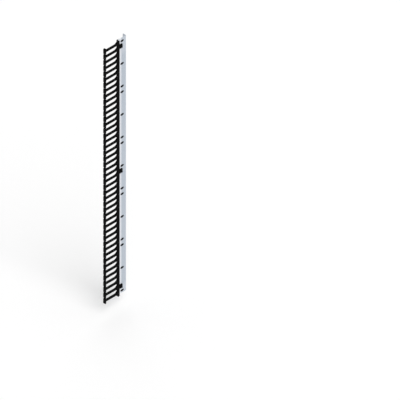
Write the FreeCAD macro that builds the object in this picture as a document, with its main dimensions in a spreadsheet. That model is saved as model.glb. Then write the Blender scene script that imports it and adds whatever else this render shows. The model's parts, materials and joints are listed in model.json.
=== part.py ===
import FreeCAD, Part
import math
import os
import Sketcher
from FreeCAD import Vector

# Vertical cable manager for an open rack, 45 rack units tall.
# A folded sheet-metal plate carries five moulded finger modules along its front edge. Each module
# grips the edge in a groove and is held by three screws whose nuts sit in pockets behind the plate.
# Three feet stand on the plate's face, and a captive screw through each one fixes it to the rack.
#
# Frame, in millimetres: the origin is the axis of the lowest captive screw, on the front of its foot.
# -X runs along the fingers to their heads, -Y faces the rack's side, and Z is up.

SIZES = (
    ("rack_unit", 44.45, "one rack unit, and the pitch of the fingers"),
    ("unit_count", 45, "rack units that the plate is tall"),
    ("module_units", 9, "rack units, and so fingers, in one module"),
    ("ears_per_module", 3, "ears, and so screws, in one module"),
    ("plate_thickness", 2.0, "sheet steel of the plate"),
    ("bend_radius", 2.0, "inside radius of the plate's fold"),
    ("mount_to_edge", 54.0, "captive screw's axis to the outside of the folded flange"),
    ("flange_depth", 30.0, "plate's front face to the flange's free edge"),
    ("flange_corner", 8.0, "radius on the flange's free corners"),
    ("mount_end_margin", 58.7375, "outer captive screws to the plate's ends"),
    ("middle_drop_units", 22, "rack units from the top captive screw down to the middle one"),
    ("mount_to_rail", 22.1, "captive screw's axis to the rail's near side"),
    ("rail_width", 14.0, "rail's front face"),
    ("rail_round", 1.5, "radius on the rail's long front edges"),
    ("plate_tuck", 5.0, "plate's edge inside the rail's groove"),
    ("groove_clearance", 0.15, "plate's edge to the sides of the groove"),
    ("groove_wall", 2.5, "rail's wall past the end of the groove"),
    ("rear_round", 2.0, "radius on the rail's long rear edge"),
    ("comb_standoff", 2.0, "plate's front face to the back of the fingers"),
    ("comb_depth", 16.0, "fingers, front to back"),
    ("module_gap", 0.6, "between neighbouring modules"),
    ("finger_length", 108.0, "rail to the inside of the finger's head"),
    ("finger_height", 9.5, "finger's thickness, up and down"),
    ("gusset_length", 26.0, "curved gusset along the top of the finger's root"),
    ("gusset_height", 16.0, "curved gusset up the rail"),
    ("root_round", 2.5, "radius under the finger's root"),
    ("head_thickness", 13.0, "T-shaped head, along the finger"),
    ("head_height", 40.5, "T-shaped head, up and down"),
    ("head_round", 5.0, "radius on the head's outer corners"),
    ("head_inner_round", 1.5, "radius on the head's inner corners"),
    ("head_neck_round", 2.0, "radius where the finger meets its head"),
    ("strip_thickness", 3.5, "module's strip and ears behind the plate"),
    ("strip_reach", 8.0, "strip past the rail's near side"),
    ("mount_to_screws", 17.0, "captive screw's axis to the line of module screws"),
    ("screw_drop", 4.0, "module screw below the middle of the finger beside it"),
    ("ear_root_height", 34.0, "ear where it leaves the strip, up and down"),
    ("boss_wall", 2.5, "wall round the nut's pocket"),
    ("key_length", 29.0, "ear's key that fills the plate's slot, along X"),
    ("key_height", 14.0, "ear's key, up and down"),
    ("key_round", 6.0, "radius on the key's corners"),
    ("key_clearance", 0.15, "key to its slot, and below the plate's front"),
    ("rib_thickness", 2.5, "rib from the strip to each boss"),
    ("rib_height", 3.8, "rib behind the strip"),
    ("clip_reach", 3.0, "edge clip past the rail's near side"),
    ("clip_height", 10.0, "edge clip, up and down"),
    ("clip_thickness", 3.0, "edge clip, front to back"),
    ("foot_depth", 8.0, "foot, plate to rack"),
    ("foot_height", 30.0, "foot, up and down"),
    ("foot_gap", 1.0, "foot to the rail"),
    ("foot_round", 3.0, "radius on the foot's free corners"),
    ("foot_inner_round", 1.5, "radius on the foot's corners beside the rail"),
    ("foot_chamfer", 0.8, "chamfer round the foot's front face"),
    ("peg_diameter", 4.0, "pegs that stop the foot turning"),
    ("peg_offset", 12.0, "captive screw's axis to the pegs, along X"),
    ("peg_spread", 13.0, "between the two pegs"),
    ("peg_clearance", 0.15, "round a peg in the plate"),
    ("thread_diameter", 6.0, "M6 thread of all the screws"),
    ("hole_clearance", 0.3, "round an M6 screw in a plain hole"),
    ("seat_clearance", 0.05, "round a nut, bush or ring in its seat"),
    ("nut_flats", 10.0, "M6 nut across its flats"),
    ("nut_height", 5.0, "M6 nut"),
    ("screw_head_diameter", 17.0, "module screw's wide truss head"),
    ("screw_head_height", 4.0, "module screw's wide truss head"),
    ("screw_rim", 1.0, "straight rim of the truss head"),
    ("screw_length", 12.0, "module screw under its head"),
    ("screw_tip", 0.8, "chamfer on every screw's tip"),
    ("socket_flats", 4.0, "hexagon socket across its flats"),
    ("socket_depth", 2.0, "hexagon socket"),
    ("captive_head_diameter", 12.0, "captive screw's pan head"),
    ("captive_head_height", 4.0, "captive screw's pan head"),
    ("captive_head_chamfer", 1.0, "chamfer on the pan head"),
    ("captive_neck_diameter", 4.8, "captive screw between its head and its thread"),
    ("captive_thread_length", 14.0, "captive screw's thread in front of the foot"),
    ("captive_play", 0.1, "under the captive screw's head"),
    ("bush_wall", 1.7, "steel bush in the foot"),
    ("ring_thickness", 1.0, "retaining ring between the bush and the plate"),
    ("ring_lip", 1.0, "retaining ring's rim outside the bush"),
    ("ring_clearance", 0.2, "retaining ring round the captive screw's neck"),
    ("washer_diameter", 18.0, "large M6 washer"),
    ("washer_thickness", 1.6, "large M6 washer"),
)

DERIVED = (
    ("plate_front", "Sizes.foot_depth"),
    ("plate_back", "Derived.plate_front + Sizes.plate_thickness"),
    ("plate_bottom", "-Sizes.mount_end_margin"),
    ("plate_height", "Sizes.unit_count * Sizes.rack_unit"),
    ("plate_top", "Derived.plate_bottom + Derived.plate_height"),
    ("rail_right", "-Sizes.mount_to_rail"),
    ("rail_left", "Derived.rail_right - Sizes.rail_width"),
    ("plate_left", "Derived.rail_right - Sizes.plate_tuck"),
    ("flange_inside", "Sizes.mount_to_edge - Sizes.plate_thickness"),
    ("flange_end", "Derived.plate_front + Sizes.flange_depth"),
    ("top_mount", "Derived.plate_top - Sizes.mount_end_margin"),
    ("middle_mount", "Derived.top_mount - Sizes.middle_drop_units * Sizes.rack_unit"),
    ("comb_back", "Derived.plate_front - Sizes.comb_standoff"),
    ("comb_front", "Derived.comb_back - Sizes.comb_depth"),
    ("groove_left", "Derived.plate_left - Sizes.groove_clearance"),
    ("groove_front", "Derived.plate_front - Sizes.groove_clearance"),
    ("wall_left", "Derived.groove_left - Sizes.groove_wall"),
    ("strip_front", "Derived.plate_back + Sizes.groove_clearance"),
    ("strip_back", "Derived.strip_front + Sizes.strip_thickness"),
    ("strip_right", "Derived.rail_right + Sizes.strip_reach"),
    ("module_count", "Sizes.unit_count / Sizes.module_units"),
    ("module_pitch", "Sizes.module_units * Sizes.rack_unit"),
    ("module_length", "Derived.module_pitch - Sizes.module_gap"),
    ("first_finger", "Sizes.rack_unit / 2"),
    ("first_ear", "Derived.first_finger - Sizes.screw_drop"),
    ("ear_spacing", "(Sizes.module_units - 1) / (Sizes.ears_per_module - 1) * Sizes.rack_unit"),
    ("head_inner", "Derived.rail_left - Sizes.finger_length"),
    ("head_outer", "Derived.head_inner - Sizes.head_thickness"),
    ("root_inside", "Derived.rail_left + Sizes.rail_width / 2"),
    ("finger_under", "Derived.first_finger - Sizes.finger_height / 2"),
    ("root_under", "Derived.finger_under - Sizes.root_round"),
    ("finger_top", "Derived.first_finger + Sizes.finger_height / 2"),
    ("gusset_start", "Derived.rail_left - Sizes.gusset_length"),
    ("gusset_top", "Derived.finger_top + Sizes.gusset_height"),
    ("gusset_radius", "(Sizes.gusset_length^2 + Sizes.gusset_height^2) / (2 * Sizes.gusset_height)"),
    ("head_under", "Derived.first_finger - Sizes.head_height / 2"),
    ("head_top", "Derived.first_finger + Sizes.head_height / 2"),
    ("thread_radius", "Sizes.thread_diameter / 2"),
    ("hole_radius", "Derived.thread_radius + Sizes.hole_clearance"),
    ("pocket_flats", "Sizes.nut_flats + 2 * Sizes.seat_clearance"),
    ("boss_radius", "Derived.pocket_flats / sqrt(3) + Sizes.boss_wall"),
    ("boss_back", "Derived.strip_back + Sizes.nut_height"),
    ("clip_right", "Derived.rail_right + Sizes.clip_reach"),
    ("clip_front", "Derived.groove_front - Sizes.clip_thickness"),
    ("clip_first", "Derived.first_finger + Derived.ear_spacing / 2"),
    ("foot_left", "Derived.rail_right + Sizes.foot_gap"),
    ("foot_right", "Sizes.foot_height / 2"),
    ("bush_radius", "Derived.hole_radius + Sizes.bush_wall"),
    ("bush_back", "Derived.plate_front - Sizes.ring_thickness"),
    ("ring_radius", "Derived.bush_radius + Sizes.ring_lip"),
    ("neck_radius", "Sizes.captive_neck_diameter / 2"),
    ("washer_back", "Derived.plate_back + Sizes.washer_thickness"),
    ("captive_head_front", "Derived.washer_back + Sizes.captive_play"),
    ("captive_head_back", "Derived.captive_head_front + Sizes.captive_head_height"),
)

NEAR = 0.001  # mm, for telling which edges lie on a plane
FULL_TURN = 360  # degrees

doc = FreeCAD.newDocument("vertical_cable_manager")
node_bodies = []


def fill_sheet(name, rows):
    """Write one sheet: the value or formula, its alias and a remark on each row."""
    sheet = doc.addObject("Spreadsheet::Sheet", name)
    for row, (alias, content, remark) in enumerate(rows, start=1):
        sheet.set(f"A{row}", content)
        sheet.setAlias(f"A{row}", alias)
        sheet.set(f"B{row}", f"'{remark}")
    doc.recompute()
    return sheet


fill_sheet("Sizes", [(alias, str(size), remark) for alias, size, remark in SIZES])
derived_sheet = fill_sheet("Derived", [(alias, f"={formula}", "worked out") for alias, formula in DERIVED])


def value(expression):
    """The number that an expression on the sheets gives now."""
    return float(derived_sheet.evalExpression(expression))


def count(expression):
    return int(round(value(expression)))


# Bodies, planes and axes


def new_body(node, x="0", y="0", z="0"):
    """Start one sub-part, whose label is its node's name, and place it."""
    body = doc.addObject("PartDesign::Body", node)
    body.Label = node
    for axis, place in (("x", x), ("y", y), ("z", z)):
        if place != "0":
            body.setExpression(f"Placement.Base.{axis}", place)
    node_bodies.append(body)
    return body


def origin_feature(body, role):
    return next(feature for feature in body.Origin.OriginFeatures if feature.Role == role)


def new_sketch(body, name, role, offset="0"):
    """A sketch on one of the body's own origin planes, moved along the plane's normal."""
    sketch = body.newObject("Sketcher::SketchObject", f"{body.Name}_{name}_sketch")
    sketch.AttachmentSupport = [(origin_feature(body, role), "")]
    sketch.MapMode = "FlatFace"
    if offset != "0":
        sketch.setExpression("AttachmentOffset.Base.z", offset)
    return sketch


# Drawing in sketches

# A sketch numbers its own axes below zero, and a curve's start, end and centre as points 1, 2 and 3.
HORIZONTAL_AXIS = -1
VERTICAL_AXIS = -2
START, END, CENTRE = 1, 2, 3
SKETCH_ORIGIN = (HORIZONTAL_AXIS, START)


def bind(sketch, constraint, expression):
    """Add one constraint and tie it to an expression on the sheets."""
    index = sketch.addConstraint(constraint)
    sketch.setExpression(f"Constraints[{index}]", expression)


def bind_point(sketch, geometry, end, place):
    """Fix a point at a place given as two expressions, where 0 means on the axis."""
    x, y = place
    for kind, other_axis, expression in (("DistanceX", VERTICAL_AXIS, x), ("DistanceY", HORIZONTAL_AXIS, y)):
        if expression == "0":
            sketch.addConstraint(Sketcher.Constraint("PointOnObject", geometry, end, other_axis))
        else:
            distance = Sketcher.Constraint(kind, *SKETCH_ORIGIN, geometry, end, value(expression))
            bind(sketch, distance, expression)


def draw_circle(sketch, place, radius):
    centre = Vector(value(place[0]), value(place[1]), 0)
    circle = sketch.addGeometry(Part.Circle(centre, Vector(0, 0, 1), value(radius)), False)
    bind_point(sketch, circle, CENTRE, place)
    bind(sketch, Sketcher.Constraint("Radius", circle, value(radius)), radius)


def add_arc(sketch, start, end, centre):
    """Add the shorter arc from start to end, and return it with the numbers of its two ends."""
    radius = (start - centre).Length
    start_angle = math.atan2(start.y - centre.y, start.x - centre.x)
    end_angle = math.atan2(end.y - centre.y, end.x - centre.x)
    turns_left = math.sin(end_angle - start_angle) > 0
    first, last = (start_angle, end_angle) if turns_left else (end_angle, start_angle)
    circle = Part.Circle(centre, Vector(0, 0, 1), radius)
    arc = sketch.addGeometry(Part.ArcOfCircle(circle, first, last), False)
    return (arc, START, END) if turns_left else (arc, END, START)


def rounding(before, corner, after, radius):
    """Where a round of this radius leaves the two edges at a corner, and its centre."""
    to_before = (before - corner).normalize()
    to_after = (after - corner).normalize()
    half = to_before.getAngle(to_after) / 2
    reach = radius / math.tan(half)
    bisector = (to_before + to_after).normalize()
    centre = corner + bisector * (radius / math.sin(half))
    return corner + to_before * reach, corner + to_after * reach, centre


def arc_centre(start, end, radius, left):
    """Centre of an arc of this radius, on the left or right of the way from start to end."""
    along = end - start
    sideways = Vector(-along.y, along.x, 0).normalize() * (1 if left else -1)
    rise = math.sqrt(max(radius ** 2 - (along.Length / 2) ** 2, 0))
    return start + along * 0.5 + sideways * rise


def draw_outline(sketch, corners):
    """Draw a closed outline through corners, each given as two expressions and perhaps a third item.

    The third item is ("round", radius) for a rounded corner, or ("arc_left", radius) or
    ("arc_right", radius) where the edge to the next corner is an arc with its centre on that side.
    """
    total = len(corners)
    points = [Vector(value(corner[0]), value(corner[1]), 0) for corner in corners]
    extras = [corner[2] if len(corner) > 2 else ("plain", None) for corner in corners]
    entries = list(points)
    exits = list(points)
    rounds = {}
    for i, (kind, radius) in enumerate(extras):
        if kind == "round":
            around = (points[i - 1], points[i], points[(i + 1) % total])
            entries[i], exits[i], rounds[i] = rounding(*around, value(radius))

    edges = []
    for i, (kind, radius) in enumerate(extras):
        start, end = exits[i], entries[(i + 1) % total]
        if kind in ("arc_left", "arc_right"):
            centre = arc_centre(start, end, value(radius), kind == "arc_left")
            edges.append(add_arc(sketch, start, end, centre))
            bind(sketch, Sketcher.Constraint("Radius", edges[-1][0], value(radius)), radius)
        else:
            line = sketch.addGeometry(Part.LineSegment(start, end), False)
            edges.append((line, START, END))

    for i, (kind, radius) in enumerate(extras):
        before, _, before_end = edges[i - 1]
        after, after_start, _ = edges[i]
        if kind == "round":
            arc, arc_start, arc_end = add_arc(sketch, entries[i], exits[i], rounds[i])
            corner = sketch.addGeometry(Part.Point(points[i]), True)
            sketch.addConstraint([
                Sketcher.Constraint("Tangent", before, before_end, arc, arc_start),
                Sketcher.Constraint("Tangent", arc, arc_end, after, after_start),
                Sketcher.Constraint("PointOnObject", corner, START, before),
                Sketcher.Constraint("PointOnObject", corner, START, after),
            ])
            bind(sketch, Sketcher.Constraint("Radius", arc, value(radius)), radius)
            bind_point(sketch, corner, START, corners[i][:2])
        else:
            sketch.addConstraint(Sketcher.Constraint("Coincident", before, before_end, after, after_start))
            bind_point(sketch, after, after_start, corners[i][:2])


def hexagon(x, z, flats):
    """Corners of a hexagon round (x, z), with two of its corners above and below."""
    side, point = f"({flats}) / 2", f"({flats}) / sqrt(3)"
    return [
        (f"{x} + {side}", f"{z} - {point} / 2"),
        (f"{x} + {side}", f"{z} + {point} / 2"),
        (x, f"{z} + {point}"),
        (f"{x} - {side}", f"{z} + {point} / 2"),
        (f"{x} - {side}", f"{z} - {point} / 2"),
        (x, f"{z} - {point}"),
    ]


# Features


def pad(body, name, outlines, y_from, y_to, circles=()):
    """Add material between two Y planes inside the outlines, which are drawn facing -Y."""
    sketch = new_sketch(body, name, "XZ_Plane", f"-({y_to})")
    for corners in outlines:
        draw_outline(sketch, corners)
    for place, radius in circles:
        draw_circle(sketch, place, radius)
    feature = body.newObject("PartDesign::Pad", f"{body.Name}_{name}")
    feature.Profile = sketch
    feature.setExpression("Length", f"({y_to}) - ({y_from})")
    return feature


def pocket(body, name, y_from, y_to, outlines=(), circles=()):
    """Remove material between two Y planes, from y_from towards +Y."""
    sketch = new_sketch(body, name, "XZ_Plane", f"-({y_from})")
    for corners in outlines:
        draw_outline(sketch, corners)
    for place, radius in circles:
        draw_circle(sketch, place, radius)
    feature = body.newObject("PartDesign::Pocket", f"{body.Name}_{name}")
    feature.Profile = sketch
    feature.setExpression("Length", f"({y_to}) - ({y_from})")
    return feature


def extrude_up(body, name, corners, length, z_from="0"):
    """Add material upwards from a section that is drawn in the XY plane."""
    sketch = new_sketch(body, name, "XY_Plane", z_from)
    draw_outline(sketch, corners)
    feature = body.newObject("PartDesign::Pad", f"{body.Name}_{name}")
    feature.Profile = sketch
    feature.setExpression("Length", length)
    return feature


def revolve(body, name, corners):
    """Turn a section, drawn in the XY plane, about the body's Y axis."""
    sketch = new_sketch(body, name, "XY_Plane")
    draw_outline(sketch, corners)
    feature = body.newObject("PartDesign::Revolution", f"{body.Name}_{name}")
    feature.Profile = sketch
    feature.ReferenceAxis = (sketch, ["V_Axis"])
    feature.Angle = FULL_TURN
    return feature


def repeat_up(body, name, originals, spacing, occurrences):
    """Repeat features along Z."""
    pattern = body.newObject("PartDesign::LinearPattern", f"{body.Name}_{name}")
    pattern.Originals = originals
    pattern.Direction = (origin_feature(body, "Z_Axis"), [""])
    pattern.Mode = "Spacing"
    pattern.setExpression("Offset", spacing)
    pattern.setExpression("Occurrences", occurrences)
    body.Tip = pattern
    return pattern


def dress(body, name, kind, size_property, size, chosen):
    """Fillet or chamfer the edges of the body's last feature that the test chooses."""
    doc.recompute()
    base = body.Tip
    edges = [f"Edge{i}" for i, edge in enumerate(base.Shape.Edges, start=1) if chosen(edge)]
    feature = body.newObject(f"PartDesign::{kind}", f"{body.Name}_{name}")
    feature.Base = (base, edges)
    feature.setExpression(size_property, size)
    return feature


def ring_section(inner, outer, y_from, y_to):
    """Section of a plain ring round the Y axis."""
    return [(inner, y_from), (outer, y_from), (outer, y_to), (inner, y_to)]


# Sheet-metal plate


def module_screw_heights():
    """Height of each module screw above the plate's bottom, as expressions."""
    return [
        f"{module} * Derived.module_pitch + Derived.first_ear + {ear} * Derived.ear_spacing"
        for module in range(count("Derived.module_count"))
        for ear in range(count("Sizes.ears_per_module"))
    ]


MOUNTS = (("bottom", "0"), ("middle", "Derived.middle_mount"), ("top", "Derived.top_mount"))


def key_outline(height, clearance="0"):
    """Long shape with round ends, about a module screw at this height."""
    reach = f"(Sizes.key_length / 2 + {clearance})"
    rise = f"(Sizes.key_height / 2 + {clearance})"
    corner = ("round", f"Sizes.key_round + {clearance}")
    return [
        (f"Sizes.mount_to_screws - {reach}", f"{height} - {rise}", corner),
        (f"Sizes.mount_to_screws + {reach}", f"{height} - {rise}", corner),
        (f"Sizes.mount_to_screws + {reach}", f"{height} + {rise}", corner),
        (f"Sizes.mount_to_screws - {reach}", f"{height} + {rise}", corner),
    ]


def build_plate():
    """The web, with its long flange folded back, and all its slots and holes."""
    body = new_body("mounting_plate")
    outer_bend = "Sizes.bend_radius + Sizes.plate_thickness"
    extrude_up(body, "web_and_flange", [
        ("Derived.plate_left", "Derived.plate_front"),
        ("Sizes.mount_to_edge", "Derived.plate_front", ("round", outer_bend)),
        ("Sizes.mount_to_edge", "Derived.flange_end"),
        ("Derived.flange_inside", "Derived.flange_end"),
        ("Derived.flange_inside", "Derived.plate_back", ("round", "Sizes.bend_radius")),
        ("Derived.plate_left", "Derived.plate_back"),
    ], "Derived.plate_height", "Derived.plate_bottom")

    first_ear = "Derived.plate_bottom + Derived.first_ear"
    slots = [
        key_outline(f"{first_ear} + {ear} * Derived.ear_spacing", "Sizes.key_clearance")
        for ear in range(count("Sizes.ears_per_module"))
    ]
    lowest_slots = pocket(body, "lowest_slots", "Derived.plate_front", "Derived.plate_back", slots)
    repeat_up(body, "key_slots", [lowest_slots], "Derived.module_pitch", "Derived.module_count")

    mounting = [(("0", height), "Derived.hole_radius") for _, height in MOUNTS]
    peg_hole = "Sizes.peg_diameter / 2 + Sizes.peg_clearance"
    pegs = [
        (("-Sizes.peg_offset", f"{height} {sign} Sizes.peg_spread / 2"), peg_hole)
        for _, height in MOUNTS
        for sign in "+-"
    ]
    pocket(body, "mounting_holes", "Derived.plate_front", "Derived.plate_back", circles=mounting + pegs)

    ends = (value("Derived.plate_bottom"), value("Derived.plate_top"))

    def is_free_corner(edge):
        middle = edge.CenterOfMass
        at_free_edge = abs(middle.y - value("Derived.flange_end")) < NEAR
        at_an_end = min(abs(middle.z - end) for end in ends) < NEAR
        return at_free_edge and at_an_end

    dress(body, "flange_corners", "Fillet", "Radius", "Sizes.flange_corner", is_free_corner)


# Finger modules


def finger_outline():
    """The lowest finger of a module: a straight bar, a T-shaped head and a curved gusset."""
    return [
        ("Derived.root_inside", "Derived.root_under"),
        ("Derived.rail_left", "Derived.root_under", ("arc_left", "Sizes.root_round")),
        ("Derived.rail_left - Sizes.root_round", "Derived.finger_under"),
        ("Derived.head_inner", "Derived.finger_under", ("round", "Sizes.head_neck_round")),
        ("Derived.head_inner", "Derived.head_under", ("round", "Sizes.head_inner_round")),
        ("Derived.head_outer", "Derived.head_under", ("round", "Sizes.head_round")),
        ("Derived.head_outer", "Derived.head_top", ("round", "Sizes.head_round")),
        ("Derived.head_inner", "Derived.head_top", ("round", "Sizes.head_inner_round")),
        ("Derived.head_inner", "Derived.finger_top", ("round", "Sizes.head_neck_round")),
        ("Derived.gusset_start", "Derived.finger_top", ("arc_left", "Derived.gusset_radius")),
        ("Derived.rail_left", "Derived.gusset_top"),
        ("Derived.root_inside", "Derived.gusset_top"),
    ]


def ear_outline():
    """The lowest ear: tapered from the strip to the boss, which is its round end."""
    root = "Derived.strip_right - Sizes.strip_reach / 2"
    return [
        (root, "Derived.first_ear - Sizes.ear_root_height / 2"),
        ("Sizes.mount_to_screws", "Derived.first_ear - Derived.boss_radius"),
        ("Sizes.mount_to_screws", "Derived.first_ear + Derived.boss_radius"),
        (root, "Derived.first_ear + Sizes.ear_root_height / 2"),
    ]


def build_finger_module(number):
    """One moulding: grooved rail, fingers, and the strip and ears behind the plate."""
    base = f"Derived.plate_bottom + {number - 1} * Derived.module_pitch"
    body = new_body(f"finger_module_{number}", z=base)
    extrude_up(body, "rail", [
        ("Derived.rail_left", "Derived.comb_front", ("round", "Sizes.rail_round")),
        ("Derived.rail_right", "Derived.comb_front", ("round", "Sizes.rail_round")),
        ("Derived.rail_right", "Derived.groove_front"),
        ("Derived.groove_left", "Derived.groove_front"),
        ("Derived.groove_left", "Derived.strip_front"),
        ("Derived.strip_right", "Derived.strip_front"),
        ("Derived.strip_right", "Derived.strip_back"),
        ("Derived.wall_left", "Derived.strip_back", ("round", "Sizes.rear_round")),
        ("Derived.wall_left", "Derived.comb_back"),
        ("Derived.rail_left", "Derived.comb_back"),
    ], "Derived.module_length", "Sizes.module_gap / 2")

    finger = pad(body, "finger", [finger_outline()], "Derived.comb_front", "Derived.comb_back")
    repeat_up(body, "fingers", [finger], "Sizes.rack_unit", "Sizes.module_units")

    screw_place = ("Sizes.mount_to_screws", "Derived.first_ear")
    ear = pad(body, "ear", [ear_outline()], "Derived.strip_front", "Derived.strip_back")
    rib = pad(body, "ear_rib", [[
        ("Derived.groove_left", "Derived.first_ear - Sizes.rib_thickness / 2"),
        ("Sizes.mount_to_screws", "Derived.first_ear - Sizes.rib_thickness / 2"),
        ("Sizes.mount_to_screws", "Derived.first_ear + Sizes.rib_thickness / 2"),
        ("Derived.groove_left", "Derived.first_ear + Sizes.rib_thickness / 2"),
    ]], "Derived.strip_back", "Derived.strip_back + Sizes.rib_height")
    boss_circle = [(screw_place, "Derived.boss_radius")]
    boss = pad(body, "boss", [], "Derived.strip_front", "Derived.boss_back", boss_circle)
    key_front = "Derived.plate_front + Sizes.key_clearance"
    key = pad(body, "ear_key", [key_outline("Derived.first_ear")], key_front, "Derived.strip_front")
    nut_room = [hexagon(*screw_place, "Derived.pocket_flats")]
    nut_pocket = pocket(body, "nut_pocket", "Derived.strip_back", "Derived.boss_back", nut_room)
    hole_circle = [(screw_place, "Derived.hole_radius")]
    screw_hole = pocket(body, "screw_hole", "Derived.plate_front", "Derived.strip_back", circles=hole_circle)
    ear_features = [ear, rib, boss, key, nut_pocket, screw_hole]
    repeat_up(body, "ears", ear_features, "Derived.ear_spacing", "Sizes.ears_per_module")

    clip_low = "Derived.clip_first - Sizes.clip_height / 2"
    clip_high = "Derived.clip_first + Sizes.clip_height / 2"
    clip = pad(body, "edge_clip", [[
        ("Derived.rail_right - Sizes.clip_reach / 2", clip_low),
        ("Derived.clip_right", clip_low, ("round", "Sizes.clip_reach / 2")),
        ("Derived.clip_right", clip_high, ("round", "Sizes.clip_reach / 2")),
        ("Derived.rail_right - Sizes.clip_reach / 2", clip_high),
    ]], "Derived.clip_front", "Derived.groove_front")
    repeat_up(body, "edge_clips", [clip], "Derived.ear_spacing", "Sizes.ears_per_module - 1")


# Module fasteners


def build_module_screw(number, height):
    """Truss-head screw, its head on the front of the plate."""
    place = f"Derived.plate_bottom + {height}"
    body = new_body(f"module_screw_{number:02d}", "Sizes.mount_to_screws", "Derived.plate_front", place)
    dome_radius = (
        "((Sizes.screw_head_diameter / 2)^2 + (Sizes.screw_head_height - Sizes.screw_rim)^2)"
        " / (2 * (Sizes.screw_head_height - Sizes.screw_rim))"
    )
    revolve(body, "turned", [
        ("0", "-Sizes.screw_head_height", ("arc_left", dome_radius)),
        ("Sizes.screw_head_diameter / 2", "-Sizes.screw_rim"),
        ("Sizes.screw_head_diameter / 2", "0"),
        ("Derived.thread_radius", "0"),
        ("Derived.thread_radius", "Sizes.screw_length - Sizes.screw_tip"),
        ("Derived.thread_radius - Sizes.screw_tip", "Sizes.screw_length"),
        ("0", "Sizes.screw_length"),
    ])
    socket_floor = "Sizes.socket_depth - Sizes.screw_head_height"
    socket = [hexagon("0", "0", "Sizes.socket_flats")]
    pocket(body, "socket", "-Sizes.screw_head_height", socket_floor, socket)


def build_module_nut(number, height):
    """Hexagon nut in its pocket behind the plate."""
    place = f"Derived.plate_bottom + {height}"
    body = new_body(f"module_nut_{number:02d}", "Sizes.mount_to_screws", "Derived.strip_back", place)
    pad(body, "hexagon", [hexagon("0", "0", "Sizes.nut_flats")], "0", "Sizes.nut_height")
    bore = [(("0", "0"), "Derived.thread_radius + Sizes.seat_clearance")]
    pocket(body, "bore", "0", "Sizes.nut_height", circles=bore)


# Feet and their captive screws


def build_foot(end, height):
    """Block between the plate and the rack, with two pegs in the plate."""
    body = new_body(f"mounting_foot_{end}", z=height)
    low, high = "-Sizes.foot_height / 2", "Sizes.foot_height / 2"
    block = [
        ("Derived.foot_left", low, ("round", "Sizes.foot_inner_round")),
        ("Derived.foot_right", low, ("round", "Sizes.foot_round")),
        ("Derived.foot_right", high, ("round", "Sizes.foot_round")),
        ("Derived.foot_left", high, ("round", "Sizes.foot_inner_round")),
    ]
    pad(body, "block", [block], "0", "Derived.plate_front")

    def is_front_edge(edge):
        return edge.BoundBox.YMax < NEAR

    dress(body, "front_chamfer", "Chamfer", "Size", "Sizes.foot_chamfer", is_front_edge)
    pegs = [
        (("-Sizes.peg_offset", f"{sign}Sizes.peg_spread / 2"), "Sizes.peg_diameter / 2")
        for sign in ("", "-")
    ]
    pad(body, "pegs", [], "Derived.plate_front", "Derived.plate_back", pegs)
    bore = [(("0", "0"), "Derived.bush_radius + Sizes.seat_clearance")]
    pocket(body, "bush_bore", "0", "Derived.plate_front", circles=bore)
    seat = [(("0", "0"), "Derived.ring_radius + Sizes.seat_clearance")]
    pocket(body, "ring_seat", "Derived.bush_back", "Derived.plate_front", circles=seat)


def build_captive_set(end, height):
    """Bush, retaining ring, washer and captive screw of one foot."""
    bush = new_body(f"foot_bush_{end}", z=height)
    bush_wall = ("Derived.hole_radius", "Derived.bush_radius")
    revolve(bush, "turned", ring_section(*bush_wall, "0", "Derived.bush_back"))

    ring = new_body(f"retaining_ring_{end}", z=height)
    ring_wall = ("Derived.neck_radius + Sizes.ring_clearance", "Derived.ring_radius")
    revolve(ring, "turned", ring_section(*ring_wall, "Derived.bush_back", "Derived.plate_front"))

    washer = new_body(f"washer_{end}", z=height)
    washer_wall = ("Derived.hole_radius", "Sizes.washer_diameter / 2")
    revolve(washer, "turned", ring_section(*washer_wall, "Derived.plate_back", "Derived.washer_back"))

    screw = new_body(f"captive_screw_{end}", z=height)
    head_radius = "Sizes.captive_head_diameter / 2"
    revolve(screw, "turned", [
        ("0", "-Sizes.captive_thread_length"),
        ("Derived.thread_radius - Sizes.screw_tip", "-Sizes.captive_thread_length"),
        ("Derived.thread_radius", "Sizes.screw_tip - Sizes.captive_thread_length"),
        ("Derived.thread_radius", "0"),
        ("Derived.neck_radius", "0"),
        ("Derived.neck_radius", "Derived.captive_head_front"),
        (head_radius, "Derived.captive_head_front"),
        (head_radius, "Derived.captive_head_back - Sizes.captive_head_chamfer"),
        (f"{head_radius} - Sizes.captive_head_chamfer", "Derived.captive_head_back"),
        ("0", "Derived.captive_head_back"),
    ])
    socket = [hexagon("0", "0", "Sizes.socket_flats")]
    socket_floor = "Derived.captive_head_back - Sizes.socket_depth"
    pocket(screw, "socket", socket_floor, "Derived.captive_head_back", socket)


def check_document():
    """Stop before writing anything if a feature failed, or a pocket removed nothing."""
    for item in doc.Objects:
        if "Invalid" in item.State or "Error" in item.State:
            raise RuntimeError(f"{item.Name} failed: {item.State}")
        if item.TypeId == "PartDesign::Pocket" and item.BaseFeature.Shape.Volume <= item.Shape.Volume:
            raise RuntimeError(f"{item.Name} removes nothing")
    for body in node_bodies:
        if body.Shape.isNull() or not body.Shape.isValid():
            raise RuntimeError(f"{body.Label} has no valid shape")


def write_parts():
    os.makedirs("parts", exist_ok=True)
    for body in node_bodies:
        body.Shape.exportStep(f"parts/{body.Label}.step")


build_plate()
for module_number in range(1, count("Derived.module_count") + 1):
    build_finger_module(module_number)
for fastener_number, fastener_height in enumerate(module_screw_heights(), start=1):
    build_module_screw(fastener_number, fastener_height)
    build_module_nut(fastener_number, fastener_height)
for mount_name, mount_height in MOUNTS:
    build_foot(mount_name, mount_height)
    build_captive_set(mount_name, mount_height)
doc.recompute()
check_document()
write_parts()
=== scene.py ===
import json
import math

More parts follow.
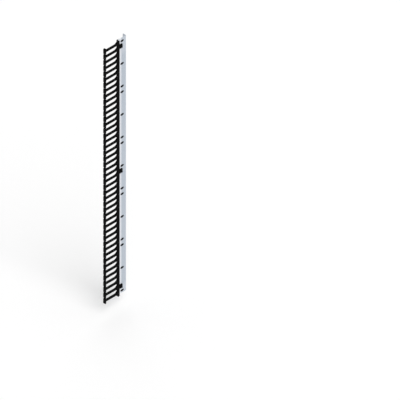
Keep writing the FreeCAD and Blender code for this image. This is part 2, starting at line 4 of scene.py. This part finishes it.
import bmesh
import bpy
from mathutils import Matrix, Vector


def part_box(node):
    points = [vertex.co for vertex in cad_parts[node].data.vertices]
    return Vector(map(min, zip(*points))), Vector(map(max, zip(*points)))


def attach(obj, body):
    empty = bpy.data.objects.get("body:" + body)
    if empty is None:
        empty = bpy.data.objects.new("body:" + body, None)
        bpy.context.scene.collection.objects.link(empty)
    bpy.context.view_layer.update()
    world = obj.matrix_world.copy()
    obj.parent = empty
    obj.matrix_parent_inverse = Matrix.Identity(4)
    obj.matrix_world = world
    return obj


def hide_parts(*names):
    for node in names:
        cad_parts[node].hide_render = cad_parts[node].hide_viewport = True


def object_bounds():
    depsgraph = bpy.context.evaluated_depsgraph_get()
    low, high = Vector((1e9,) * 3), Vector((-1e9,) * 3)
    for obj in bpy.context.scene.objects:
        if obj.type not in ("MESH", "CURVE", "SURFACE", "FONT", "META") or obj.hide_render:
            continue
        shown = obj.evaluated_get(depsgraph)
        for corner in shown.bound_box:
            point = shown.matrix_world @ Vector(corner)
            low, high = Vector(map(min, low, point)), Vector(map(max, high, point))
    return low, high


# Looks of the vertical cable manager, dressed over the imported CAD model. Metres, in the CAD's frame:
# -X runs along the fingers to their heads, -Y faces the rack, and Z is up.

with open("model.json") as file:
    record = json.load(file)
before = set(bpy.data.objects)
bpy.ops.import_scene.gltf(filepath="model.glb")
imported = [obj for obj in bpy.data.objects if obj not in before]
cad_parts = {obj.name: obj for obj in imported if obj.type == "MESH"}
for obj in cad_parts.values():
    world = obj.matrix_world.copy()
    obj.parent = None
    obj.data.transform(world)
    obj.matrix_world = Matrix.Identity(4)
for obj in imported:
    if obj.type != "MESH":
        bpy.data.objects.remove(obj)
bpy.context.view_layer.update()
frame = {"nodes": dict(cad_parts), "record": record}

MM = 0.001
ENDS = ("bottom", "middle", "top")
COMB_BACK = 6.0 * MM  # the fingers' rear face, in front of the plate
MODULES = [name for name in sorted(frame["nodes"]) if name.startswith("finger_module_")]
MODULE_SCREWS = [name for name in sorted(frame["nodes"]) if name.startswith("module_screw_")]
MODULE_NUTS = [name for name in sorted(frame["nodes"]) if name.startswith("module_nut_")]

# Colours, as linear red, green and blue
PAINT = (0.505, 0.560, 0.630)
# the colour of the painted highlight on the plate, paler than its paint
PAINT_HIGHLIGHT = (0.830, 0.855, 0.900)
MOULDING = (0.0008, 0.0007, 0.0008)
MOULDING_WORN = (0.0036, 0.0034, 0.0035)
MOULDING_EDGE = (0.0085, 0.0081, 0.0084)
BLACK_STEEL = (0.0025, 0.0025, 0.0027)
BLACK_STEEL_WORN = (0.008, 0.008, 0.009)
ZINC = (0.58, 0.59, 0.61)
ZINC_DULL = (0.48, 0.49, 0.52)
NYLON = (0.72, 0.71, 0.66)
WHITE = (1, 1, 1, 1)


# Materials. A noise's scale is in grains per metre, and its value runs from about 0.2 to 0.8.

EVEN_SPAN = (0.3, 0.7)  # of a noise that changes a surface evenly
MOULDING_WEAR_SPAN = (0.45, 0.8)  # of a noise that marks the worn places only
STEEL_WEAR_SPAN = (0.4, 0.8)
GRAIN_SPAN = (0.45, 0.60)
GRAIN = 0.8  # share of the worn colour in the moulding's grain
TURNING_MARKS = (1, 6, 1)  # stretches noise into rings round the Y axis

# The powder coat's painted highlight, paler places that stand in for light, as distances where they
# start or end
HIGHLIGHT_RAIL_SPAN = (0.004, 0.015)  # along X, from fully pale to none
FRONT_SPAN = (0.5 * MM, 1.5 * MM)  # behind the plate's front face
HIGHLIGHT_TOP_SPAN = (0.16, 0.10)  # below the top
HIGHLIGHT_BOTTOM_SPAN = (0.05, 0.09)  # above the bottom
HIGHLIGHT_TOP = 0.20  # share of the pale colour
HIGHLIGHT_BOTTOM = 0.30
MOTTLE = 0.06  # change of that share from place to place
SPECKLE = 0.12


class Paint:
    """A node material on a Principled shader, with its textures in object coordinates."""

    def __init__(self, name, base, roughness, metallic=0.0, specular=0.5):
        self.material = bpy.data.materials.new(name)
        self.material.use_nodes = True
        self.nodes = self.material.node_tree.nodes
        self.links = self.material.node_tree.links
        self.shader = self.nodes["Principled BSDF"]
        self.shader.inputs["Base Color"].default_value = (*base, 1)
        self.shader.inputs["Roughness"].default_value = roughness
        self.shader.inputs["Metallic"].default_value = metallic
        self.shader.inputs["Specular IOR Level"].default_value = specular
        self.place = self.nodes.new("ShaderNodeTexCoord")
        self.relief = None

    def noise(self, scale, detail, stretch=(1, 1, 1), roughness=0.5):
        """Noise with this many grains to a metre, before the stretch."""
        mapping = self.nodes.new("ShaderNodeMapping")
        mapping.inputs["Scale"].default_value = stretch
        self.links.new(self.place.outputs["Object"], mapping.inputs["Vector"])
        noise = self.nodes.new("ShaderNodeTexNoise")
        noise.inputs["Scale"].default_value = scale
        noise.inputs["Detail"].default_value = detail
        noise.inputs["Roughness"].default_value = roughness
        self.links.new(mapping.outputs["Vector"], noise.inputs["Vector"])
        return noise.outputs["Fac"]

    def along(self, axis):
        """The object coordinate along X, Y or Z, in metres."""
        split = self.nodes.new("ShaderNodeSeparateXYZ")
        self.links.new(self.place.outputs["Object"], split.inputs["Vector"])
        return split.outputs[axis]

    def combine(self, operation, first, second):
        """A Math node on two sockets."""
        maths = self.nodes.new("ShaderNodeMath")
        maths.operation = operation
        self.links.new(first, maths.inputs[0])
        self.links.new(second, maths.inputs[1])
        return maths.outputs[0]

    def ramp(self, value, span, result, smooth=False):
        """Take a socket's value from one span, as (start, end), to another, and hold it beyond both."""
        spread = self.nodes.new("ShaderNodeMapRange")
        spread.interpolation_type = "SMOOTHSTEP" if smooth else "LINEAR"
        spread.inputs["From Min"].default_value, spread.inputs["From Max"].default_value = span
        spread.inputs["To Min"].default_value, spread.inputs["To Max"].default_value = result
        self.links.new(value, spread.inputs["Value"])
        return spread.outputs["Result"]

    def vary_colour(self, value, first, second):
        """Mix the base colour from the first, where the value is 0, to the second, where it is 1."""
        mix = self.nodes.new("ShaderNodeMix")
        mix.data_type = "RGBA"
        mix.inputs["A"].default_value = (*first, 1)
        mix.inputs["B"].default_value = (*second, 1)
        self.links.new(value, mix.inputs["Factor"])
        self.links.new(mix.outputs["Result"], self.shader.inputs["Base Color"])

    def vary_roughness(self, noise, result):
        self.links.new(self.ramp(noise, EVEN_SPAN, result), self.shader.inputs["Roughness"])

    def bump(self, value, depth, strength):
        """Relief of this depth in metres, on top of any relief already there."""
        bump = self.nodes.new("ShaderNodeBump")
        bump.inputs["Distance"].default_value = depth
        bump.inputs["Strength"].default_value = strength
        self.links.new(value, bump.inputs["Height"])
        if self.relief is not None:
            self.links.new(self.relief, bump.inputs["Normal"])
        self.relief = bump.outputs["Normal"]
        self.links.new(self.relief, self.shader.inputs["Normal"])


def powder_coat():
    """Satin powder coat with a faint mottle and speckle, and a painted highlight: paler at both ends,
    and beside the rail on its front face.
    """
    paint = Paint("powder_coat", PAINT, roughness=0.46, specular=0.4)
    low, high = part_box("mounting_plate")
    front = [low.y + depth for depth in FRONT_SPAN]
    top = [high.z - depth for depth in HIGHLIGHT_TOP_SPAN]
    bottom = [low.z + height for height in HIGHLIGHT_BOTTOM_SPAN]
    # Painted highlight: paler beside the rail on the front face, and towards the top and the bottom
    highlight_beside_rail = paint.ramp(paint.along("X"), HIGHLIGHT_RAIL_SPAN, (1, 0), smooth=True)
    on_front = paint.ramp(paint.along("Y"), front, (1, 0))
    highlight_side = paint.combine("MULTIPLY", highlight_beside_rail, on_front)
    highlight_top = paint.ramp(paint.along("Z"), top, (0, HIGHLIGHT_TOP), smooth=True)
    highlight_bottom = paint.ramp(paint.along("Z"), bottom, (HIGHLIGHT_BOTTOM, 0), smooth=True)
    highlight_ends = paint.combine("MAXIMUM", highlight_top, highlight_bottom)
    mottle = paint.ramp(paint.noise(scale=9, detail=3), EVEN_SPAN, (-MOTTLE, MOTTLE))
    speckle = paint.ramp(paint.noise(scale=1100, detail=2), EVEN_SPAN, (-SPECKLE, SPECKLE))
    uneven = paint.combine("ADD", mottle, speckle)
    # The painted highlight, with the coat's mottle and speckle on top, sets the plate's colour
    highlight_and_mottle = paint.combine("ADD", paint.combine("MAXIMUM", highlight_side, highlight_ends), uneven)
    paint.vary_colour(highlight_and_mottle, PAINT, PAINT_HIGHLIGHT)
    paint.vary_roughness(paint.noise(scale=160, detail=3), (0.40, 0.52))
    paint.bump(paint.noise(scale=420, detail=2), depth=0.12 * MM, strength=1.0)
    paint.bump(paint.noise(scale=1900, detail=1), depth=0.03 * MM, strength=1.0)
    return paint.material


def moulded_plastic(name, colour, worn):
    """Black moulding with a fine spark-eroded grain, a little greyer where it has been handled."""
    paint = Paint(name, colour, roughness=0.60, specular=0.035)
    wear = paint.ramp(paint.noise(scale=30, detail=4), MOULDING_WEAR_SPAN, (0, 1))
    grain = paint.ramp(paint.noise(scale=1500, detail=2), GRAIN_SPAN, (0, GRAIN))
    paint.vary_colour(paint.combine("ADD", wear, grain), colour, worn)
    paint.vary_roughness(paint.noise(scale=90, detail=3), (0.52, 0.68))
    paint.bump(paint.noise(scale=2200, detail=3, roughness=0.7), depth=0.02 * MM, strength=0.7)
    return paint.material


def black_steel():
    """Black oxide on steel, with a slight oily sheen."""
    paint = Paint("black_steel", BLACK_STEEL, roughness=0.42, specular=0.07)
    wear = paint.ramp(paint.noise(scale=500, detail=3), STEEL_WEAR_SPAN, (0, 1))
    paint.vary_colour(wear, BLACK_STEEL, BLACK_STEEL_WORN)
    paint.vary_roughness(paint.noise(scale=700, detail=3), (0.34, 0.50))
    paint.bump(paint.noise(scale=3000, detail=2), depth=0.006 * MM, strength=0.5)
    return paint.material


def zinc_plate():
    """Zinc plating, with faint turning marks round the Y axis."""
    paint = Paint("zinc_plate", ZINC, roughness=0.32, metallic=1.0)
    dullness = paint.ramp(paint.noise(scale=500, detail=3), EVEN_SPAN, (0, 1))
    paint.vary_colour(dullness, ZINC, ZINC_DULL)
    paint.vary_roughness(paint.noise(scale=1500, detail=2, stretch=TURNING_MARKS), (0.26, 0.42))
    return paint.material


def natural_nylon():
    """Undyed nylon, with a slight grain."""
    paint = Paint("natural_nylon", NYLON, roughness=0.45)
    paint.vary_roughness(paint.noise(scale=900, detail=2), (0.38, 0.52))
    paint.bump(paint.noise(scale=1800, detail=2), depth=0.008 * MM, strength=0.5)
    return paint.material


FINISHES = {
    "plate_paint": powder_coat(),
    "black_moulding": moulded_plastic("black_moulding", MOULDING, MOULDING_WORN),
    "black_steel": black_steel(),
    "plated_steel": zinc_plate(),
    "nylon": natural_nylon(),
}


def dress_cad_nodes():
    """Give every CAD node the finish that the record names for it."""
    for row in frame["record"]["subparts"]:
        node = frame["nodes"][row["node"]]
        node.data.materials.clear()
        node.data.materials.append(FINISHES[row["material_slot"]])


# Rounded edges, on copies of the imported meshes

COMB_ROUND = 0.7 * MM
PLATE_ROUND = 0.3 * MM
WASHER_ROUND = 0.25 * MM
ROUND_SEGMENTS = 2
CIRCULAR_PROFILE = 0.5
MERGE_DISTANCE = 1e-6
FLAT_ANGLE = math.radians(0.3)
SHARP_ANGLE = math.radians(50)
SMOOTH_ANGLE = math.radians(40)
ON_PLANE = 0.01 * MM


def rounded_mesh(node, radius, chosen=None, edge_material=0):
    """A copy of a node's mesh whose sharp outer edges, or the chosen ones of them, are rounded."""
    shape = bmesh.new()
    shape.from_mesh(frame["nodes"][node].data)
    bmesh.ops.remove_doubles(shape, verts=shape.verts, dist=MERGE_DISTANCE)
    bmesh.ops.dissolve_limit(
        shape, angle_limit=FLAT_ANGLE, verts=shape.verts, edges=shape.edges,
    )
    sharp = [
        edge for edge in shape.edges
        if edge.is_convex and edge.calc_face_angle(0) > SHARP_ANGLE
        and (chosen is None or chosen(edge))
    ]
    bmesh.ops.bevel(
        shape, geom=sharp, affect="EDGES", offset=radius, offset_type="OFFSET",
        segments=ROUND_SEGMENTS, profile=CIRCULAR_PROFILE, clamp_overlap=False,
        miter_outer="ARC", miter_inner="SHARP", material=edge_material,
    )
    bmesh.ops.remove_doubles(shape, verts=shape.verts, dist=MERGE_DISTANCE)
    bmesh.ops.dissolve_degenerate(shape, dist=MERGE_DISTANCE, edges=shape.edges)
    mesh = bpy.data.meshes.new(f"{node}_rounded")
    shape.to_mesh(mesh)
    shape.free()
    smooth_below(mesh, SMOOTH_ANGLE)
    return mesh


def smooth_below(mesh, limit):
    """Shade smooth, with sharp edges where two faces meet at more than this angle."""
    shape = bmesh.new()
    shape.from_mesh(mesh)
    for face in shape.faces:
        face.smooth = True
    for edge in shape.edges:
        edge.smooth = len(edge.link_faces) == 2 and edge.calc_face_angle(0) < limit
    shape.to_mesh(mesh)
    shape.free()


def place_piece(name, mesh, node, body, slot, location=(0, 0, 0), extra_finishes=()):
    """Put a piece in place of its CAD node, riding with the node's body."""
    mesh.materials.clear()
    for finish in (FINISHES[slot], *extra_finishes):
        mesh.materials.append(finish)
    piece = bpy.data.objects.new(name, mesh)
    piece.location = location
    bpy.context.scene.collection.objects.link(piece)
    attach(piece, body)
    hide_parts(node)
    return piece


def flatten_shading(piece):
    """Keep large faces flat where they meet rounded edges."""
    weighted = piece.modifiers.new("weighted_normals", "WEIGHTED_NORMAL")
    weighted.keep_sharp = True


def outlines_comb(front):
    """A test for edges on the comb's front face, or on its back face in front of the plate."""
    def test(edge):
        ends = [vertex.co.y for vertex in edge.verts]
        at_front = max(abs(y - front) for y in ends) < ON_PLANE
        at_back = max(abs(y - COMB_BACK) for y in ends) < ON_PLANE
        return at_front or at_back

    return test


def add_rounded_pieces():
    worn_edge = moulded_plastic("black_moulding_edge", MOULDING_WORN, MOULDING_EDGE)
    for node in MODULES:
        low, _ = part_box(node)
        mesh = rounded_mesh(node, COMB_ROUND, outlines_comb(low.y), edge_material=1)
        piece = place_piece(
            f"{node}_moulded", mesh, node, "manager", "black_moulding", extra_finishes=[worn_edge],
        )
        flatten_shading(piece)

    plate = rounded_mesh("mounting_plate", PLATE_ROUND)
    flatten_shading(
        place_piece("mounting_plate_coated", plate, "mounting_plate", "manager", "plate_paint")
    )

    for end in ENDS:
        washer = f"washer_{end}"
        mesh = rounded_mesh(washer, WASHER_ROUND)
        flatten_shading(place_piece(f"{washer}_pressed", mesh, washer, "manager", "black_steel"))


# Turned parts: closed rings of points round the Y axis, joined by quads

RING_POINTS = 48
TURNED_MERGE_DISTANCE = 1e-7
TURNED_SMOOTH_ANGLE = math.radians(32)
SIXTH = math.pi / 3  # of a turn, from one side of a hexagon to the next

THREAD_PITCH = 1.0 * MM
THREAD_RADIUS = 3.0 * MM
THREAD_DEPTH = 0.60 * MM
THREAD_ROWS = 8  # rings to one pitch
THREAD_TAPER = 0.8 * MM  # at the tip
THREAD_FADE = 0.6 * THREAD_PITCH  # over which the groove starts
FLANK_SLOPE = 3.2  # how steep the groove's sides are, and how wide its crest
CREST = 0.3


def angles():
    return [2 * math.pi * i / RING_POINTS for i in range(RING_POINTS)]


def circle(radius, y):
    """A flat ring, as (radius, y) at each angle."""
    return [(radius, y)] * RING_POINTS


def hexagon_radius(angle, flats):
    """Distance from the axis to a hexagon's side, with two of its corners above and below."""
    turned = (angle + SIXTH / 2) % SIXTH - SIXTH / 2
    return flats / 2 / math.cos(turned)


def hexagon_ring(flats, y):
    return [(hexagon_radius(angle, flats), y) for angle in angles()]


def chamfered_hexagon_ring(flats, face_radius, y, slope):
    """Where a cone that leaves the face at this radius cuts a hexagon's sides."""
    ring = []
    for angle in angles():
        radius = hexagon_radius(angle, flats)
        ring.append((radius, y + max(radius - face_radius, 0) * slope))
    return ring


def thread_rings(y_from, y_to):
    """A helical M6 thread from y_from to y_to, tapered towards y_to."""
    rows = max(int(round(abs(y_to - y_from) / THREAD_PITCH * THREAD_ROWS)), 2)
    rings = []
    for row in range(rows + 1):
        y = y_from + (y_to - y_from) * row / rows
        limit = THREAD_RADIUS - max(THREAD_TAPER - abs(y_to - y), 0)
        fade = min(abs(y - y_from) / THREAD_FADE, 1)
        ring = []
        for angle in angles():
            phase = (y / THREAD_PITCH - angle / (2 * math.pi)) % 1
            groove = min(max(abs(phase - 0.5) * FLANK_SLOPE - CREST, 0), 1)
            ring.append((min(THREAD_RADIUS - THREAD_DEPTH * groove * fade, limit), y))
        rings.append(ring)
    return rings


def turned_mesh(name, rings, first_y=None, last_y=None):
    """A mesh through the rings. Its ends close on the axis at first_y and last_y, or on each other."""
    shape = bmesh.new()
    rows = []
    for ring in rings:
        rows.append([
            shape.verts.new((radius * math.cos(angle), y, radius * math.sin(angle)))
            for (radius, y), angle in zip(ring, angles())
        ])
    closed = first_y is None and last_y is None
    pairs = list(zip(rows, rows[1:] + rows[:1])) if closed else list(zip(rows, rows[1:]))
    for lower, upper in pairs:
        for i in range(RING_POINTS):
            j = (i + 1) % RING_POINTS
            shape.faces.new((lower[i], lower[j], upper[j], upper[i]))
    for row, y in ((rows[0], first_y), (rows[-1], last_y)):
        if y is not None:
            centre = shape.verts.new((0, y, 0))
            for i in range(RING_POINTS):
                shape.faces.new((row[i], row[(i + 1) % RING_POINTS], centre))
    bmesh.ops.remove_doubles(shape, verts=shape.verts, dist=TURNED_MERGE_DISTANCE)
    bmesh.ops.recalc_face_normals(shape, faces=shape.faces)
    mesh = bpy.data.meshes.new(name)
    shape.to_mesh(mesh)
    shape.free()
    return mesh


def axis_of(node, y):
    """The point at this y on the line along Y through the middle of a node's box."""
    low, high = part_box(node)
    return Vector(((low.x + high.x) / 2, y, (low.z + high.z) / 2))


SOCKET_FLATS = 4.0 * MM
SOCKET_DEPTH = 2.0 * MM
SOCKET_EDGE = 2.50 * MM  # radius of the countersink round the socket
SOCKET_SINK = 0.15 * MM
SOCKET_FLOOR_SHARE = 0.96  # the floor's width, as a share of the flats
SOCKET_FLOOR_RISE = 0.1 * MM
DRILL_RADIUS = 0.9 * MM
DRILL_POINT = 0.35 * MM


def socket_rings(face_y, inwards):
    """Rings from the bottom of a hexagon socket up to its edge in a flat or domed face."""
    floor_y = face_y + inwards * SOCKET_DEPTH
    return [
        circle(DRILL_RADIUS, floor_y),
        hexagon_ring(SOCKET_FLATS * SOCKET_FLOOR_SHARE, floor_y),
        hexagon_ring(SOCKET_FLATS, floor_y - inwards * SOCKET_FLOOR_RISE),
        hexagon_ring(SOCKET_FLATS, face_y + inwards * SOCKET_SINK),
        circle(SOCKET_EDGE, face_y),
    ]


TRUSS_HEIGHT = 4.0 * MM
TRUSS_RIM = 1.0 * MM  # height of the rim below the dome
DOME_STEPS = 9
DOME_INSET = 0.35 * MM  # from the rim to the dome's last ring
RIM_INSET, RIM_DROP = 0.08 * MM, 0.12 * MM  # of the ring where the rim turns
RIM_ROUND = 0.40 * MM
RIM_CHAMFER = 0.20 * MM  # where the head meets the plate
SCREW_THREAD = 4.0 * MM


def module_screw_mesh(node, front):
    """Truss head with a hexagon socket, and a thread at the shank's tip. The front is the plate's."""
    low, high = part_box(node)
    rim_radius = (high.x - low.x) / 2
    tip = high.y - front
    rise = TRUSS_HEIGHT - TRUSS_RIM
    dome = (rim_radius ** 2 + rise ** 2) / (2 * rise)
    centre_y = -TRUSS_HEIGHT + dome
    edge_y = centre_y - math.sqrt(dome ** 2 - SOCKET_EDGE ** 2)
    rings = socket_rings(edge_y, 1)
    last_angle = math.asin((rim_radius - DOME_INSET) / dome)
    first_angle = math.asin(SOCKET_EDGE / dome)
    for step in range(1, DOME_STEPS + 1):
        angle = first_angle + (last_angle - first_angle) * step / DOME_STEPS
        rings.append(circle(dome * math.sin(angle), centre_y - dome * math.cos(angle)))
    rings += [
        circle(rim_radius - RIM_INSET, -TRUSS_RIM + RIM_DROP),
        circle(rim_radius, -TRUSS_RIM + RIM_ROUND),
        circle(rim_radius, -RIM_CHAMFER),
        circle(rim_radius - RIM_CHAMFER, 0),
        circle(THREAD_RADIUS, 0),
        circle(THREAD_RADIUS, tip - SCREW_THREAD),
    ]
    rings += thread_rings(tip - SCREW_THREAD, tip)[1:]
    mesh = turned_mesh("module_screw", rings, edge_y + SOCKET_DEPTH + DRILL_POINT, tip)
    smooth_below(mesh, TURNED_SMOOTH_ANGLE)
    return mesh


NUT_FACE_SHARE = 0.96  # the chamfer's circle, as a share of the flats
NUT_CHAMFER_SLOPE = 0.577  # 30 degrees
NUT_CLEARANCE = 0.05 * MM
NUT_SINK = 0.45 * MM
NUT_SMOOTH_ANGLE = math.radians(25)


def module_nut_mesh(node):
    """Hexagon nut with chamfered corners and a countersunk bore."""
    low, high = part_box(node)
    height = high.y - low.y
    flats = high.x - low.x
    face = flats / 2 * NUT_FACE_SHARE
    bore = THREAD_RADIUS + NUT_CLEARANCE
    mesh = turned_mesh("module_nut", [
        circle(bore, NUT_SINK),
        circle(bore + NUT_SINK, 0),
        circle(face, 0),
        chamfered_hexagon_ring(flats, face, 0, NUT_CHAMFER_SLOPE),
        chamfered_hexagon_ring(flats, face, height, -NUT_CHAMFER_SLOPE),
        circle(face, height),
        circle(bore + NUT_SINK, height),
        circle(bore, height - NUT_SINK),
    ])
    smooth_below(mesh, NUT_SMOOTH_ANGLE)
    return mesh


PAN_HEIGHT = 4.0 * MM
PAN_ROUND = 1.0 * MM
ROUND_NEAR, ROUND_FAR = 0.12, 0.80  # shares of the round, at the two rings along it
PAN_CHAMFER = 0.15 * MM
NECK_RADIUS = 2.4 * MM


def captive_screw_mesh(node):
    """Pan head with a hexagon socket, a turned-down neck and an M6 thread in front of the foot."""
    low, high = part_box(node)
    head_radius = (high.x - low.x) / 2
    head_front = high.y - PAN_HEIGHT
    rings = socket_rings(high.y, -1)
    rings += [
        circle(head_radius - PAN_ROUND - PAN_CHAMFER, high.y),
        circle(head_radius - PAN_ROUND * ROUND_FAR, high.y - PAN_ROUND * ROUND_NEAR),
        circle(head_radius - PAN_ROUND * ROUND_NEAR, high.y - PAN_ROUND * ROUND_FAR),
        circle(head_radius, high.y - PAN_ROUND - PAN_CHAMFER),
        circle(head_radius, head_front + PAN_CHAMFER),
        circle(head_radius - PAN_CHAMFER, head_front),
        circle(NECK_RADIUS, head_front),
        circle(NECK_RADIUS, 0),
        circle(THREAD_RADIUS - THREAD_DEPTH, 0),
    ]
    rings += thread_rings(0, low.y)[1:]
    mesh = turned_mesh("captive_screw", rings, high.y - SOCKET_DEPTH - DRILL_POINT, low.y)
    smooth_below(mesh, TURNED_SMOOTH_ANGLE)
    return mesh


def add_fasteners():
    """The screws and nuts. Their meshes start on the Y axis, at the face that they stand on."""
    plate_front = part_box("mounting_plate")[0].y
    screw = module_screw_mesh(MODULE_SCREWS[0], plate_front)
    for node in MODULE_SCREWS:
        location = axis_of(node, plate_front)
        place_piece(f"{node}_detailed", screw, node, "manager", "black_steel", location)

    nut = module_nut_mesh(MODULE_NUTS[0])
    for node in MODULE_NUTS:
        location = axis_of(node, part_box(node)[0].y)
        place_piece(f"{node}_detailed", nut, node, "manager", "plated_steel", location)

    for end in ENDS:
        node = f"captive_screw_{end}"
        mesh = captive_screw_mesh(node)
        body = f"{end}_screw_body"
        place_piece(f"{node}_detailed", mesh, node, body, "black_steel", axis_of(node, 0))


# Stage, lights and camera

ISOMETRIC = math.asin(1 / math.sqrt(3))
AZIMUTH = math.radians(-45)
PHOTO_SIDE = 400  # pixels
PHOTO_WIDTH = 2.562  # metres across the photo, at the object's scale
CORNER_PIXEL = (126.2, 35.0)  # the plate's upper right front corner in the photo
CAMERA_DISTANCE = 6.0
CAMERA_REACH = 100
FLOOR_DROP = 0.10  # below the object, which hangs on its rack
FLOOR_SIDE = 40.0
FLOOR_COLOUR = (0.90, 0.90, 0.90)
FLOOR_LIFT = 0.14  # brings the lit floor up to white, and leaves the object's shadow
STUDIO_LIGHT = 0.55
WHITE_LIGHT = 1.0
SUNS = (  # name, azimuth and elevation, strength, and the width of the sun, with angles in degrees
    ("key", -20, 50, 1.3, 40),
    ("fill", 120, 40, 0.5, 60),
)


def back_direction(azimuth, elevation):
    """Unit vector from the object towards a camera or lamp, with azimuth 0 in front, at -Y."""
    return Vector((
        math.sin(azimuth) * math.cos(elevation),
        -math.cos(azimuth) * math.cos(elevation),
        math.sin(elevation),
    ))


def add_camera():
    """An isometric camera that puts the plate's corner on its pixel."""
    back = back_direction(AZIMUTH, ISOMETRIC)
    right = Vector((math.cos(AZIMUTH), math.sin(AZIMUTH), 0))
    up = back.cross(right)
    low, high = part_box("mounting_plate")
    corner = Vector((high.x, low.y, high.z))
    pixel = PHOTO_WIDTH / PHOTO_SIDE
    across = (PHOTO_SIDE / 2 - CORNER_PIXEL[0]) * pixel
    down = (PHOTO_SIDE / 2 - CORNER_PIXEL[1]) * pixel
    data = bpy.data.cameras.new("camera")
    data.type = "ORTHO"
    data.ortho_scale = PHOTO_WIDTH
    data.clip_end = CAMERA_REACH
    camera = bpy.data.objects.new("camera", data)
    camera.location = corner + right * across - up * down + back * CAMERA_DISTANCE
    camera.rotation_euler = back.to_track_quat("Z", "Y").to_euler()
    bpy.context.scene.collection.objects.link(camera)
    bpy.context.scene.camera = camera


def mix_by_view(tree, lighting, seen):
    """Mix two shaders: the first lights the object, and the second is what the camera sees.

    Glossy and transmitted rays see the second too.
    """
    ray = tree.nodes.new("ShaderNodeLightPath")
    direct = ray.outputs["Is Camera Ray"]
    for name in ("Is Glossy Ray", "Is Transmission Ray"):
        either = tree.nodes.new("ShaderNodeMath")
        either.operation = "MAXIMUM"
        tree.links.new(direct, either.inputs[0])
        tree.links.new(ray.outputs[name], either.inputs[1])
        direct = either.outputs[0]
    mix = tree.nodes.new("ShaderNodeMixShader")
    tree.links.new(direct, mix.inputs[0])
    tree.links.new(lighting.outputs[0], mix.inputs[1])
    tree.links.new(seen.outputs[0], mix.inputs[2])
    return mix.outputs[0]


def add_floor():
    """A pale floor that looks white where nothing shades it."""
    low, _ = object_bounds()
    mesh = bpy.data.meshes.new("floor")
    shape = bmesh.new()
    bmesh.ops.create_grid(shape, x_segments=1, y_segments=1, size=FLOOR_SIDE / 2)
    shape.to_mesh(mesh)
    shape.free()
    floor = bpy.data.objects.new("floor", mesh)
    floor.location.z = low.z - FLOOR_DROP
    material = bpy.data.materials.new("floor")
    material.use_nodes = True
    tree = material.node_tree
    shader = tree.nodes["Principled BSDF"]
    shader.inputs["Base Color"].default_value = (*FLOOR_COLOUR, 1)
    shader.inputs["Roughness"].default_value = 1.0
    shader.inputs["Specular IOR Level"].default_value = 0.0
    glow = tree.nodes.new("ShaderNodeEmission")
    glow.inputs["Strength"].default_value = FLOOR_LIFT
    lifted = tree.nodes.new("ShaderNodeAddShader")
    tree.links.new(shader.outputs[0], lifted.inputs[0])
    tree.links.new(glow.outputs[0], lifted.inputs[1])
    surface = tree.nodes["Material Output"].inputs["Surface"]
    tree.links.new(mix_by_view(tree, shader, lifted), surface)
    mesh.materials.append(material)
    bpy.context.scene.collection.objects.link(floor)


def add_world():
    """Soft studio light from all round, seen as plain white."""
    world = bpy.data.worlds.new("studio")
    bpy.context.scene.world = world
    world.use_nodes = True
    tree = world.node_tree
    studio = tree.nodes["Background"]
    studio.inputs["Color"].default_value = WHITE
    studio.inputs["Strength"].default_value = STUDIO_LIGHT
    white = tree.nodes.new("ShaderNodeBackground")
    white.inputs["Color"].default_value = WHITE
    white.inputs["Strength"].default_value = WHITE_LIGHT
    surface = tree.nodes["World Output"].inputs["Surface"]
    tree.links.new(mix_by_view(tree, studio, white), surface)


def add_sun(name, azimuth, elevation, strength, width):
    data = bpy.data.lights.new(name, "SUN")
    data.energy = strength
    data.angle = math.radians(width)
    lamp = bpy.data.objects.new(name, data)
    direction = back_direction(math.radians(azimuth), math.radians(elevation))
    lamp.rotation_euler = direction.to_track_quat("Z", "Y").to_euler()
    bpy.context.scene.collection.objects.link(lamp)


dress_cad_nodes()
add_rounded_pieces()
add_fasteners()
add_camera()
add_floor()
add_world()
for sun in SUNS:
    add_sun(*sun)
bpy.context.scene.view_settings.view_transform = "Standard"
